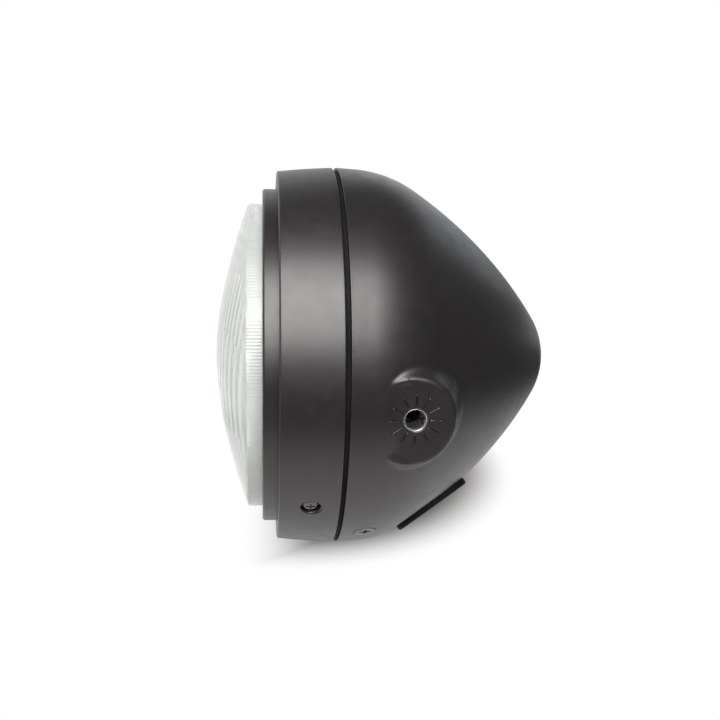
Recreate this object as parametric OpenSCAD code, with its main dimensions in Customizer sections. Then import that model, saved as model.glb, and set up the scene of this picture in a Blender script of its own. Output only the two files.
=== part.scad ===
// Seven-inch round motorcycle headlight with side mounts.
// The lamp's axis lies along X and the lamp faces -X. +Z is up.
// The origin is the middle of the side bolt axis, which lies along Y.
// Stations along the axis are measured from the seam between shell and trim ring: rearward is positive.

/* [Housing shell] */
// Radius of the shell at the seam
shell_r = 99.6; // [97:0.1:102]
// Sheet thickness of the shell
shell_wall = 1.5; // [1.2:0.1:1.8]
// Taper of the shell's straight front part, in degrees
shell_taper = 3; // [2:0.5:4]
// Length of the straight front part
shell_straight = 11; // [9:0.5:13]
// Radius of the shoulder curve
shoulder_r = 61.6; // [58:0.1:66]
// Slope where the shoulder ends, in degrees
shoulder_end = 32.4; // [31:0.1:34]
// Radius of the long flank curve
flank_r = 241.3; // [230:0.1:250]
// Slope where the flank ends and the round back begins, in degrees
flank_end = 55.1; // [53:0.1:57]
// Width of the open seam in front of the shell
seam_gap = 2.1; // [1.6:0.1:2.6]
// How far the mouth lip reaches forward of the seam
lip_len = 7.5; // [6:0.5:7.5]
// How far the mouth lip lies inside the shell's surface
lip_step = 3.5; // [3:0.1:4]

/* [Side mounts] */
// Distance from the seam back to the bolt axis
bolt_setback = 30; // [28:0.5:32]
// How far the pad's face stands proud of the shell at the bolt axis
pad_rise = 2.1; // [1.8:0.1:3]
// Radius of the pad's round rear end
pad_r = 18.5; // [17:0.5:21]
// Radius of the pad's rounded edge
pad_edge = 2; // [1.6:0.1:3]
// Slope of the pad's side walls, in degrees
pad_draft = 28; // [20:1:32]
// Radius of the thread in the side bush
thread_r = 3.4; // [3.2:0.1:3.6]
// Radius of the bush's plain mouth
bush_mouth_r = 4.7; // [4.2:0.1:4.7]
// Depth of the bush's plain mouth
bush_mouth_depth = 3.5; // [3:0.5:5]
// Radius of the bush where it shows in the pad
bush_r = 5.4; // [5.3:0.1:5.7]
// Length of the bush
bush_len = 14; // [13:1:17]
// Radius of the bush's weld flange behind the pad
bush_flange_r = 9; // [8:0.5:10]
// Thickness of the bush's weld flange
bush_flange = 2; // [1.5:0.5:3]
// Number of pressed ribs round the bush
rib_count = 12; // [8:1:16]
// Radius where the ribs start
rib_in = 6.2; // [6.1:0.1:7]
// Radius where the ribs end
rib_out = 12.4; // [10:0.2:14]
// Width of a rib
rib_w = 0.6; // [0.5:0.1:0.8]
// Height of a rib above the pad
rib_h = 0.4; // [0.3:0.1:0.6]

/* [Trim ring] */
// How far the trim ring's rear lies inside the shell's radius
trim_inset = 0.1; // [0:0.05:0.3]
// Width of the trim ring's flat front outside the retaining ring
trim_land = 9.2; // [9:0.1:10]
// Sheet thickness of the trim ring
trim_wall = 1.4; // [1.2:0.1:1.6]
// Radius of the trim ring's gentle crown
trim_crown = 430; // [400:10:460]
// Slope of the crown at the ring's rear, in degrees
trim_slope = 3.2; // [3:0.1:3.5]
// Distance from the seam to the trim ring's front face
trim_front = 29.3; // [28.5:0.1:30]
// Rounding of the trim ring's rear edge
trim_rear_round = 1.2; // [1:0.1:1.6]
// Rounding of the trim ring's front edge
trim_front_round = 1; // [0.8:0.1:1.2]
// Angle of the ring screws below the bolt axis, in degrees
ring_screw_angle = 28.5; // [26:0.5:31]
// Distance from the seam forward to the ring screws
ring_screw_station = 14.6; // [14:0.1:15.5]
// Radius of the dished hole for a ring screw
dish_r = 4.6; // [4.4:0.1:5]
// Head radius of a ring screw
ring_head_r = 3.7; // [3.5:0.1:4]
// Thread radius of a ring screw
ring_thread_r = 2; // [1.8:0.1:2.2]

/* [Shell screws and bracket] */
// Distance from the seam back to the countersunk screws
shell_screw_station = 13.4; // [13:0.1:14]
// Angle of the countersunk screws below the bolt axis, in degrees
shell_screw_angle = 44.5; // [43:0.5:46]
// Head radius of a countersunk screw
csk_r = 5.9; // [5.5:0.1:6.1]
// Thread radius of a countersunk screw
csk_thread_r = 3; // [2.5:0.1:3]
// Thickness of the bracket strap
strap_t = 1.5; // [1.2:0.1:2]
// Width of the bracket strap
strap_w = 16; // [15:0.5:18]
// Width of the tabs that carry the ring screws
tab_w = 13; // [12:0.5:15]

/* [Bezel and lens] */
// Wall of the retaining ring's barrel
bezel_wall = 2; // [1.6:0.1:2.4]
// How far the retaining ring stands in front of the trim ring
bezel_front = 7.3; // [7:0.1:7.8]
// Rounding of the retaining ring's front edge
bezel_round = 1.5; // [1:0.1:1.8]
// Thickness of the retaining ring's front lip
bezel_lip = 1.5; // [1.3:0.1:1.8]
// Thickness of the lens
lens_wall = 4.5; // [4:0.1:5]
// Distance from the seam to the front corner of the lens rim
lens_corner = 43.9; // [43:0.1:45]
// Radius of the lens dome round its middle
dome_mid_r = 148; // [145:1:152]
// Radius of the lens dome towards its rim
dome_rim_r = 308; // [300:1:315]
// Slope at which the two dome curves meet, in degrees
dome_mid_end = 10; // [9:0.5:11]
// Width of the lens flange behind the retaining ring
lens_flange = 5.1; // [4.8:0.1:6]
// Pitch of the flutes in the middle block
flute_pitch = 8.6; // [8:0.1:9.5]
// Pitch of the flutes in the upper and lower blocks
flute_pitch_outer = 6.2; // [6:0.1:7]
// Height of a flute above the lens's inner face
flute_h = 1.2; // [0.9:0.1:1.4]
// Half height of the middle block of flutes
block_half = 22; // [18:1:26]
// Height above the axis where the cross prisms start
prism_start = 52; // [48:1:56]

/* [Reflector and bulb] */
// Focal length of the reflector
focal = 27.5; // [27:0.5:28]
// Wall of the reflector
reflector_wall = 1.2; // [1:0.1:1.5]
// Radius of the bulb hole in the reflector
bulb_hole_r = 18; // [17.5:0.5:18.5]
// Distance from the bulb's flange to its filament
filament_reach = 29.5; // [29:0.1:30]
// Radius of the bulb's glass
bulb_r = 8.5; // [8:0.1:9]
// Distance from the bulb's flange to its tip
bulb_reach = 54; // [50:1:55]
// Width of the bulb's flange outside the hole
bulb_flange = 3.2; // [2.8:0.1:3.5]
// Radius of the bulb's base behind its flange
base_r = 15.5; // [14:0.5:16]
// Length of the bulb's base behind its flange
base_len = 13; // [11:0.5:15]
// Distance from the axis to the parking bulb's hole
park_r = 45; // [42:1:48]
// Radius of the parking bulb's socket
park_socket_r = 6.5; // [6:0.1:7]

/* [Cable grommet] */
// Angle of the grommet below the bolt axis, in degrees
grommet_angle = 54.5; // [52:0.5:57]
// Backward tilt of the grommet's seat, in degrees
grommet_tilt = 31.3; // [30:0.1:33]
// Depth of the flat seat below the shell's surface
seat_depth = 1.8; // [1.5:0.1:2]
// Distance from the seam back to the grommet's middle
grommet_station = 50.4; // [48:0.2:54]
// Length of the grommet's flange
grommet_len = 43.5; // [41:0.5:46]
// Width of the grommet's flange
grommet_w = 25; // [23:0.5:27]
// Thickness of the grommet's flange
grommet_t = 2.9; // [2.5:0.1:3.5]

/* [Hidden] */

$fn = 96;
fit = 0.1;
over = 1;
seam_x = -bolt_setback;
left = 1;
right = -1;

// Points on an arc of radius r about c, for slopes from t0 to t1. A point is [radius, station].
function arc(c, r, t0, t1, steps) =
    [for (i = [0:steps]) let (t = t0 + (t1 - t0) * i / steps) [c[0] + r * cos(t), c[1] + r * sin(t)]];

// The shell's profile is three tangent arcs behind a straight front. inset moves it inward.
straight_end = [shell_r - shell_straight * tan(shell_taper), shell_straight];
shoulder_c = straight_end - shoulder_r * [cos(shell_taper), sin(shell_taper)];
flank_c = shoulder_c + (shoulder_r - flank_r) * [cos(shoulder_end), sin(shoulder_end)];
back_r = flank_r + flank_c[0] / cos(flank_end);
back_c = flank_c + (flank_r - back_r) * [cos(flank_end), sin(flank_end)];
shell_back = back_c[1] + back_r;
function shell_points(inset) =
    concat([[shell_r - inset, 0]],
           arc(shoulder_c, shoulder_r - inset, shell_taper, shoulder_end, 12),
           arc(flank_c, flank_r - inset, shoulder_end, flank_end, 14),
           arc(back_c, back_r - inset, flank_end, 90, 9));
function shell_radius(station) =
    shoulder_c[0] + sqrt(shoulder_r * shoulder_r - pow(station - shoulder_c[1], 2));
pad_face = shell_radius(bolt_setback) + pad_rise;

// The trim ring's crown, as a centre [radius, station] with stations counted backward.
trim_back = seam_gap / 2;
trim_r = shell_r - trim_inset;
crown_end = asin(sin(trim_slope) + (trim_front - trim_back - trim_front_round) / trim_crown);
crown_c = [trim_r - trim_crown * cos(trim_slope), -trim_back + trim_crown * sin(trim_slope)];
front_r = crown_c[0] + trim_crown * cos(crown_end);

// Radii step inward from the trim ring to the lens.
bezel_gap = 0.2;
bezel_r = front_r - trim_land;
lens_play = 0.5;
barrel_in = bezel_r - bezel_wall;
lens_flange_r = barrel_in - lens_play;
lens_r = lens_flange_r - lens_flange;

// Stations of the rings that hold the lens, counted forward from the seam.
trim_flange_back = trim_front - trim_wall;
clamp_t = 1.5;
bezel_flange = 1.5;
bezel_flange_w = 5.5;
bezel_flange_r = bezel_r + bezel_flange_w;
bezel_flange_front = trim_flange_back - fit;
clamp_front = bezel_flange_front - bezel_flange - fit;
reflector_flange = 1.4;
lens_back = bezel_flange_front - fit;
bezel_face = trim_front + bezel_front;
bezel_lip_back = bezel_face - bezel_lip;
gasket_t = 1.6;
lens_flange_front = bezel_lip_back - gasket_t - 2 * fit;
trim_opening_r = bezel_r + bezel_gap;
clamp_screw_r = bezel_r + 2.3;
clamp_screw_count = 6;
clamp_screw_first = 0;
clip_count = 6;

// The lip at the shell's mouth.
lip_out = shell_r - lip_step;
lip_in = lip_out - shell_wall;

// Module helpers. lathe() turns [radius, station] outlines about the lamp's axis.
module lathe(points) {
    translate([seam_x, 0, 0]) rotate([0, 90, 0]) rotate_extrude() polygon(points);
}

// A plain disc or tube about the lamp's axis between two stations.
module disc(r, from, to) {
    translate([seam_x + from, 0, 0]) rotate([0, 90, 0]) cylinder(r = r, h = to - from);
}
module tube(r_out, r_in, from, to) {
    lathe([[r_in, from], [r_out, from], [r_out, to], [r_in, to]]);
}

// Puts children at a station with their +Z pointing out from the axis, below the bolt axis by an angle.
module on_side(side, below, station) {
    translate([seam_x + station, 0, 0]) rotate([side * (90 + below), 0, 0]) children();
}

module on_ring_screw(side) {
    on_side(side, ring_screw_angle, -ring_screw_station) children();
}

// Puts children round the axis, with +Z outward.
module around(count, first, station) {
    for (i = [0:count - 1])
        translate([seam_x + station, 0, 0]) rotate([first + i * 360 / count, 0, 0]) children();
}

// An outline in the plane of the axis and a radius, as [station, radius], as wide as w.
module strip(w, points) {
    translate([0, w / 2, 0]) rotate([90, 0, 0]) linear_extrude(height = w) polygon(points);
}

// Puts children on a side's bolt axis, with +Z pointing out of the lamp.
module on_bolt(side) {
    rotate([side * 90, 0, 0]) children();
}

// Half of the pad's cross section, as [distance, height] points. inset moves its faces inward.
pad_foot = pad_face - 1.6 * pad_r;
function pad_half(inset) =
    let (edge = max(pad_edge - inset, 0.2), mid = [pad_r - pad_edge, pad_face - pad_edge],
         corner = arc(mid, edge, pad_draft, 90, 5))
    concat([[corner[0][0] + (corner[0][1] - pad_foot) * tan(pad_draft), pad_foot]], corner);

// A raised pad: a round rear end that runs forward into the shell.
module pad_form(side, inset) {
    half = pad_half(inset);
    last = len(half) - 1;
    mirrored = [for (i = [last:-1:0]) [-half[i][0], half[i][1]]];
    on_bolt(side) rotate_extrude() polygon(concat([[0, pad_foot]], half, [[0, half[last][1]]]));
    on_bolt(side) rotate([90, 0, -90]) linear_extrude(height = bolt_setback - seam_gap - over)
        polygon(concat(half, mirrored));
}

// The flat seat of the grommet: children are placed on its plane, with +Z outward.
seat_dir = [sin(grommet_tilt), cos(grommet_tilt)];
seat_support = flank_c[1] * seat_dir[0] + flank_c[0] * seat_dir[1] + flank_r;
seat_h = seat_support - seat_depth;
seat_radius = (seat_h - grommet_station * seat_dir[0]) / seat_dir[1];
module on_seat() {
    on_side(left, grommet_angle, grommet_station)
        translate([0, 0, seat_radius]) rotate([0, grommet_tilt, 0]) children();
}

// The shell's solid form, without its hollow. inset gives the inner face.
module shell_form(inset) {
    difference() {
        union() {
            lathe(concat([[0, 0]], shell_points(inset)));
            pad_form(left, inset);
            pad_form(right, inset);
            on_seat() translate([0, 0, -inset - 8])
                slot(grommet_len - 1 - 2 * inset, grommet_w - 1 - 2 * inset, 8 + over);
        }
        on_seat() translate([-grommet_len, -grommet_len, -inset]) cube([2 * grommet_len, 2 * grommet_len, 20]);
    }
}

// A rounded slot outline, long along X.
module slot(len, w, h) {
    linear_extrude(height = h) union() {
        square([len - w, w], center = true);
        translate([(len - w) / 2, 0]) circle(d = w);
        translate([-(len - w) / 2, 0]) circle(d = w);
    }
}

csk_depth = 3;
csk_top = shell_radius(shell_screw_station);
csk_slope = asin((shell_screw_station - shoulder_c[1]) / shoulder_r);
module on_screw(side) {
    on_side(side, shell_screw_angle, shell_screw_station) translate([0, 0, csk_top]) rotate([0, csk_slope, 0])
        children();
}
module csk_cone(grow) {
    rotate([180, 0, 0]) cylinder(r1 = csk_r + grow, r2 = csk_thread_r + grow, h = csk_depth);
}

module housing_shell() {
    color("#2c2b2a") difference() {
        union() {
            difference() {
                union() {
                    difference() {
                        shell_form(0);
                        disc(shell_r + 5, -over, seam_gap / 2);
                    }
                    tube(lip_out, lip_in, -lip_len, seam_gap);
                    lathe(concat([[lip_in, -lip_len]], arc([lip_in + shell_wall / 2, -lip_len], 1, -180, 0, 8)));
                }
                difference() {
                    shell_form(shell_wall);
                    disc(shell_r + 5, -over, seam_gap / 2 + shell_wall);
                }
                disc(lip_in, -lip_len - 3, seam_gap + shell_wall + 1);
            }
            for (side = [left, right])
                on_screw(side) translate([0, 0, -0.4]) csk_cone(shell_wall - 0.3);
            for (side = [left, right])
                on_bolt(side) for (i = [0:rib_count - 1])
                    rotate([0, 0, i * 360 / rib_count]) translate([rib_in, -rib_w / 2, pad_face - 0.5])
                        cube([rib_out - rib_in, rib_w, rib_h + 0.5]);
        }
        for (side = [left, right]) {
            on_bolt(side) cylinder(r = bush_r + fit / 2, h = pad_face + 5);
            on_screw(side) {
                csk_cone(fit / 2);
                cylinder(r = csk_r + fit / 2, h = 3);
                translate([0, 0, -12]) cylinder(r = csk_thread_r + fit, h = 15);
            }
        }
        on_seat() translate([0, 0, -10]) slot(grommet_len - 10, grommet_w - 10, 20);
    }
}

module side_bush(side) {
    flange_top = pad_face - shell_wall - fit;
    top = pad_face - 0.3;
    bottom = pad_face - bush_len;
    mouth = pad_face - bush_mouth_depth;
    color("#c9c9c7") on_bolt(side) difference() {
        union() {
            translate([0, 0, bottom]) cylinder(r = bush_r, h = top - bottom);
            translate([0, 0, flange_top - bush_flange]) cylinder(r = bush_flange_r, h = bush_flange);
        }
        rotate_extrude() polygon([[0, bottom - over], [thread_r, bottom - over], [thread_r, mouth - 1],
                                  [bush_mouth_r, mouth], [bush_mouth_r, top - 0.5], [bush_r - 0.15, top],
                                  [bush_r - 0.15, top + over], [0, top + over]]);
    }
}
module side_bush_left() { side_bush(left); }
module side_bush_right() { side_bush(right); }

// A closed rubber blank with a thick outer flange, a neck in the wall and an inner flange.
module cable_grommet() {
    neck = shell_wall + 2 * fit;
    edge = 1.2;
    color("#161616") on_seat() {
        hull() for (end = [-1, 1])
            translate([end * (grommet_len - grommet_w) / 2, 0, fit]) rotate_extrude($fn = 32)
                polygon(concat([[0, 0], [grommet_w / 2, 0]],
                               arc([grommet_w / 2 - edge, grommet_t - fit - edge], edge, 0, 90, 3),
                               [[0, grommet_t - fit]]));
        translate([0, 0, -neck]) slot(grommet_len - 10 - 2 * fit, grommet_w - 10 - 2 * fit, neck + 0.2);
        translate([0, 0, -neck - 2]) slot(grommet_len - 6, grommet_w - 6, 2);
    }
}

// Hexagon nut, standing on the XY plane.
module hex_nut(flats, h, bore) {
    difference() {
        cylinder(r = flats / 2 / cos(30), h = h, $fn = 6);
        translate([0, 0, -over]) cylinder(r = bore, h = h + 2 * over);
    }
}

// Cross recess, cut down from z = 0.
module cross_recess(reach, depth, w) {
    for (a = [0, 90]) rotate([0, 0, a]) translate([-reach, -w / 2, -depth]) cube([2 * reach, w, depth + over]);
    translate([0, 0, -depth]) cylinder(r = w * 0.9, h = depth + over);
}

module shell_screw(side) {
    color("#8d9098") on_screw(side) difference() {
        union() {
            csk_cone(0);
            cylinder(r = csk_r, h = 0.1);
            translate([0, 0, -csk_len]) cylinder(r = csk_thread_r, h = csk_len);
        }
        translate([0, 0, 0.1]) cross_recess(csk_r * 0.44, 2.2, 1.7);
    }
}
module shell_screw_left() { shell_screw(left); }
module shell_screw_right() { shell_screw(right); }

strap_top = csk_depth + 0.4 + fit;
strap_station = shell_screw_station;
nut_h = 4.5;
csk_nut_flats = 10;
nut_seat_r = 6.4;
csk_seat = -strap_top - strap_t - 1.6;
csk_len = 5 - csk_seat;
module shell_screw_nuts() {
    color("#b8b9b5") for (side = [left, right])
        on_screw(side) translate([0, 0, csk_seat - fit - nut_h])
            hex_nut(csk_nut_flats, nut_h, csk_thread_r + fit / 2);
}

// The strap runs round the bottom inside the shell. A tab at each end reaches forward to a ring screw.
tab_top = lip_in - 0.5;
tab_reach = ring_screw_station + 5.5;
strap_front = strap_station - strap_w / 2;
strap_back = strap_front + strap_w;
strap_out = csk_top - strap_top;
tab_foot = strap_out - 0.25;
module strap_cone(r, from, to) {
    lathe([[0, from], [r, from], [r - strap_w * tan(shell_taper), to], [0, to]]);
}
module lower_bracket() {
    arc_half = 90 - ring_screw_angle + 4;
    color("#9fa19d") difference() {
        union() {
            intersection() {
                difference() {
                    strap_cone(strap_out, strap_front, strap_back);
                    strap_cone(strap_out - strap_t, strap_front - over, strap_back + over);
                }
                translate([seam_x, 0, 0]) rotate([90, 0, 90]) linear_extrude(height = strap_back + over)
                    polygon([[0, 0], for (i = [-4:4]) let (t = arc_half * i / 4) 2 * shell_r * [sin(t), -cos(t)]]);
            }
            for (side = [left, right]) on_side(side, ring_screw_angle, 0)
                strip(tab_w, [[-tab_reach, tab_top - strap_t], [-tab_reach, tab_top], [strap_front - 2, tab_top],
                              [strap_front + 2, tab_foot], [strap_front + 5, tab_foot],
                              [strap_front + 5, tab_foot - strap_t], [strap_front + 2.5, tab_foot - strap_t],
                              [strap_front - 1.5, tab_top - strap_t]]);
            for (side = [left, right]) on_screw(side) translate([0, 0, csk_seat])
                cylinder(r = nut_seat_r, h = 1.8);
        }
        for (side = [left, right]) {
            on_ring_screw(side) cylinder(r = ring_thread_r + 0.2, h = shell_r);
            on_screw(side) translate([0, 0, -20]) cylinder(r = csk_thread_r + 0.2, h = 20);
        }
    }
}

ring_nut_h = 3;
module ring_screw_nuts() {
    color("#b8b9b5") for (side = [left, right])
        on_ring_screw(side) translate([0, 0, tab_top - strap_t - fit - ring_nut_h])
            hex_nut(7, ring_nut_h, ring_thread_r + fit / 2);
}

// Black rubber band on the lip, at the bottom of the seam.
module rim_seal() {
    front = -trim_back + fit;
    back = seam_gap / 2 - fit;
    tucked = -lip_len + 3.5;
    band_r = lip_out + lip_step / 2;
    color("#101010") lathe([[lip_out + fit, tucked], [trim_turn_r - fit, tucked], [trim_turn_r - fit, front],
                            [band_r, front], [band_r, back], [lip_out + fit, back]]);
}

// Trim ring: a crowned skirt with a flat front flange, as [radius, station] points.
function skirt_r(ahead) = crown_c[0] + trim_crown * cos(asin(sin(trim_slope) + (ahead - trim_back) / trim_crown));
function crown(inset, from, to, steps) =
    [for (i = [0:steps]) let (t = from + (to - from) * i / steps)
        [crown_c[0] + (trim_crown - inset) * cos(t), crown_c[1] - (trim_crown - inset) * sin(t)]];
trim_turn_r = trim_r - trim_rear_round - 0.4;
rear_turn = trim_slope + asin(trim_rear_round / trim_crown);
trim_outline = concat(
    [[trim_r - trim_rear_round, -trim_back]],
    [for (i = [1:4]) [trim_r - trim_rear_round + trim_rear_round * sin(i * 22.5) * 0.97,
                      -trim_back - trim_rear_round + trim_rear_round * cos(i * 22.5)]],
    crown(0, rear_turn, crown_end, 8),
    [for (i = [1:3]) [front_r - trim_front_round + trim_front_round * cos(i * 30),
                      -trim_front + trim_front_round - trim_front_round * sin(i * 30)]],
    [[trim_opening_r, -trim_front], [trim_opening_r, -trim_flange_back],
     [front_r - trim_wall, -trim_flange_back]],
    crown(trim_wall, crown_end - 0.2, rear_turn, 8),
    [[trim_turn_r, -trim_back - 1.2]]);

// A ring screw sits in a dish, whose floor bears on the bracket's tab.
dish_floor = 1.2;
dish_bottom = tab_top + fit;
dish_top = dish_bottom + dish_floor;
trim_at_screw = skirt_r(ring_screw_station) - trim_wall / 2;
clip_len = 7.6;
lug_station = -clamp_front + clip_len;
hook_w = 16;
lug_r = skirt_r(-lug_station) - trim_wall;
clip_first = 30;
lug_w = 8;
module trim_ring() {
    color("#302f2d") difference() {
        union() {
            lathe(trim_outline);
            for (side = [left, right]) on_ring_screw(side)
                translate([0, 0, dish_bottom]) cylinder(r = dish_r + 1, h = trim_at_screw - dish_bottom);
            around(clip_count, clip_first, lug_station)
                translate([-0.7, -lug_w / 2, lug_r - 1.6]) cube([1.4, lug_w, 2.2]);
        }
        for (side = [left, right]) on_ring_screw(side) {
            translate([0, 0, dish_top]) cylinder(r = dish_r, h = 10);
            cylinder(r = ring_thread_r + 0.25, h = shell_r);
        }
    }
}

// Hook inside the top of the trim ring: it reaches in behind the shell's lip.
module top_hook() {
    t = 1.2;
    out = front_r - trim_wall - 0.9;
    turn = -lip_len - 2.6;
    foot = lip_in - 0.4;
    back = -lip_len + 2.5;
    color("#9fa19d") translate([seam_x, 0, 0])
        strip(hook_w, [[-trim_flange_back + 0.5, out], [turn, out], [turn, foot], [back, foot], [back, foot - t],
                   [turn - t, foot - t], [turn - t, out - t], [-trim_flange_back + 0.5, out - t]]);
}

module ring_screw(side) {
    head = 2.3;
    edge = 1;
    color("#6f6e6b") on_ring_screw(side) translate([0, 0, dish_top]) difference() {
        union() {
            rotate_extrude() polygon(concat([[0, 0.05], [ring_head_r, 0.05], [ring_head_r, edge]],
                [for (i = [1:5]) [ring_head_r * cos(i * 18), edge + (head - edge) * sin(i * 18)]]));
            translate([0, 0, -8]) cylinder(r = ring_thread_r, h = 9);
        }
        translate([0, 0, head]) cross_recess(2.1, 1.5, 0.9);
    }
}
module ring_screw_left() { ring_screw(left); }
module ring_screw_right() { ring_screw(right); }

// Retaining ring: a front lip, a barrel through the trim ring and a flange behind it.
bezel_opening = lens_r + 0.7;
module retaining_ring() {
    color("#2b2a29") difference() {
        lathe(concat([[bezel_opening, -bezel_face], [bezel_r - bezel_round, -bezel_face]],
                     [for (i = [1:4]) [bezel_r - bezel_round + bezel_round * sin(i * 22.5),
                                       -bezel_face + bezel_round - bezel_round * cos(i * 22.5)]],
                     [[bezel_r, -bezel_flange_front], [bezel_flange_r, -bezel_flange_front],
                      [bezel_flange_r, -bezel_flange_front + bezel_flange],
                      [barrel_in, -bezel_flange_front + bezel_flange], [barrel_in, -bezel_lip_back],
                      [bezel_opening, -bezel_lip_back]]));
        around(clamp_screw_count, clamp_screw_first, -bezel_flange_front - 0.4) translate([0, 0, clamp_screw_r])
            rotate([0, 90, 0]) cylinder(r = 1.55, h = bezel_flange + 1);
    }
}

module lens_gasket() {
    front = -bezel_lip_back + fit;
    color("#121212") tube(barrel_in - fit, bezel_opening + 0.2, front, front + gasket_t);
}

// Lens. The dome has two tangent curves outside, and blocks of flutes and cross prisms inside.
lens_round = 1.2;
dome_tilt = asin((lens_r - lens_round - (dome_mid_r - dome_rim_r) * sin(dome_mid_end)) / dome_rim_r);
dome_mid_sag = dome_mid_r * (1 - cos(dome_mid_end));
dome_sag = dome_mid_sag + dome_rim_r * (cos(dome_mid_end) - cos(dome_tilt));
lens_front = lens_corner + dome_sag + 0.4;
lens_bore = lens_r - lens_wall;
inner_sag = dome_sag * 0.97;
inner_r = (lens_bore * lens_bore + inner_sag * inner_sag) / (2 * inner_sag);
inner_c = -lens_front + lens_wall + inner_r;
flute_r = 7;
hollow_mid = (lens_flange_front + lens_back) / 2;

// One side of a disc whose rim is scalloped by the flutes. It turns about its own Y axis.
module scalloped(pitch) {
    count = ceil(lens_r / pitch) + 1;
    difference() {
        intersection() {
            circle(r = inner_r, $fn = 256);
            translate([inner_r - lens_front, -lens_flange_r]) square([lens_front + over, 2 * lens_flange_r]);
        }
        for (i = [-count:count]) let (t = asin(i * pitch / inner_r))
            translate((inner_r + flute_r - flute_h) * [cos(t), sin(t)]) circle(r = flute_r);
    }
}

// A block of the lens's hollow between two heights, fluted upright or, with cross, sideways.
module lens_block(low, high, pitch, cross) {
    intersection() {
        translate([seam_x + inner_c, 0, 0]) rotate([cross ? 0 : 90, 0, 0])
            rotate_extrude($fn = 256) scalloped(pitch);
        translate([seam_x - lens_front, -lens_r, low])
            cube([lens_front - hollow_mid, 2 * lens_r, high - low]);
        disc(lens_bore, -lens_front, -lens_back);
    }
}

module lens_glass() {
    color("#dfe6e0", 0.55) difference() {
        lathe(concat(
            arc([0, -lens_front + dome_mid_r], dome_mid_r, -90, -90 + dome_mid_end, 5),
            [for (i = [1:8]) let (t = dome_mid_end + (dome_tilt - dome_mid_end) * i / 8)
                [(dome_mid_r - dome_rim_r) * sin(dome_mid_end) + dome_rim_r * sin(t),
                 -lens_front + dome_mid_sag + dome_rim_r * (cos(dome_mid_end) - cos(t))]],
            [[lens_r - 0.3, -lens_corner + 0.1], [lens_r, -lens_corner + 1], [lens_r, -lens_flange_front],
             [lens_flange_r, -lens_flange_front], [lens_flange_r, -lens_back], [0, -lens_back]]));
        lens_block(-block_half, block_half, flute_pitch, false);
        lens_block(-lens_r, -block_half, flute_pitch_outer, false);
        lens_block(block_half, prism_start, flute_pitch_outer, false);
        lens_block(prism_start, lens_r, flute_pitch_outer, true);
        disc(lens_bore, -hollow_mid - over, -lens_back + over);
    }
}

// Reflector: a paraboloid with a flange at the lens and a collar at the bulb.
dish_mouth = lens_bore - 0.4;
reflector_front = -lens_back + fit;
apex = reflector_front + reflector_flange + dish_mouth * dish_mouth / (4 * focal);
function bowl(r) = apex - r * r / (4 * focal);
bulb_seat = apex - focal + filament_reach;
collar_r = bulb_hole_r + 3.5;
park_slope = atan(2 * focal / park_r);
module on_park() {
    on_side(left, 90, bowl(park_r)) translate([0, 0, park_r]) rotate([0, park_slope, 0]) children();
}
module reflector() {
    steps = 18;
    radii = [for (i = [0:steps]) bulb_hole_r + (dish_mouth - bulb_hole_r) * i / steps];
    color("#d8dadd") difference() {
        union() {
            lathe(concat([for (r = radii) [r, bowl(r)]],
                         [[dish_mouth, reflector_front], [lens_flange_r - 0.2, reflector_front],
                          [lens_flange_r - 0.2, reflector_front + reflector_flange],
                          [dish_mouth + reflector_wall, reflector_front + reflector_flange]],
                         [for (i = [steps:-1:0]) let (r = radii[i], t = atan(r / (2 * focal)))
                             [r + reflector_wall * sin(t), bowl(r) + reflector_wall * cos(t)]]));
            tube(collar_r, bulb_hole_r, bowl(bulb_hole_r) - 0.6, bulb_seat);
            on_park() cylinder(r = park_socket_r + 2, h = 3);
        }
        on_park() translate([0, 0, -8]) cylinder(r = park_socket_r, h = 20);
    }
}

module clamp_ring() {
    color("#8b8d8a") difference() {
        tube(bezel_flange_r, lens_bore + 3, -clamp_front, -clamp_front + clamp_t);
        around(clamp_screw_count, clamp_screw_first, -clamp_front - over) translate([0, 0, clamp_screw_r])
            rotate([0, 90, 0]) cylinder(r = 1.6, h = 5);
    }
}

module clamp_screws() {
    color("#a9aaa7") around(clamp_screw_count, clamp_screw_first, -clamp_front + clamp_t + 0.05)
        translate([0, 0, clamp_screw_r]) rotate([0, 90, 0]) difference() {
            union() {
                cylinder(r = 2.6, h = 1.8);
                translate([0, 0, -clamp_t - bezel_flange]) cylinder(r = 1.45, h = clamp_t + bezel_flange + 0.5);
            }
            translate([0, 0, 1.8]) cross_recess(1.5, 1.1, 0.6);
        }
}

// Spring clips between the clamp ring and lugs inside the trim ring.
module spring_clips() {
    t = 0.8;
    back = -clamp_front + clamp_t + fit;
    bear = lug_station - 0.7 - fit;
    rise = lug_r - 0.4;
    color("#b9bab6") around(clip_count, clip_first, 0)
        strip(9, [[back, clamp_screw_r - 6], [back + t, clamp_screw_r - 6], [back + t, clamp_screw_r - 0.5],
                  [bear - 1, rise - 2.1], [bear, rise - 1.4], [bear, rise], [bear - t, rise],
                  [bear - t, rise - 1.1], [bear - 1.6, rise - 1.6], [back, clamp_screw_r]]);
}

// Bulb: glass with two filaments, a metal base with a flange, and three blades.
bulb_tip = bulb_seat - bulb_reach;
bulb_flange_r = bulb_hole_r + bulb_flange;
bulb_back = bulb_seat - 14;
module bulb_glass() {
    wall = 1;
    color("#e8ecec", 0.5) difference() {
        lathe(concat([[0, bulb_back], [bulb_r, bulb_back]], arc([0, bulb_tip + bulb_r], bulb_r, 0, -90, 8)));
        lathe(concat([[0, bulb_back + over], [bulb_r - wall, bulb_back + over]],
                     arc([0, bulb_tip + bulb_r], bulb_r - wall, 0, -90, 8)));
    }
}

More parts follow.
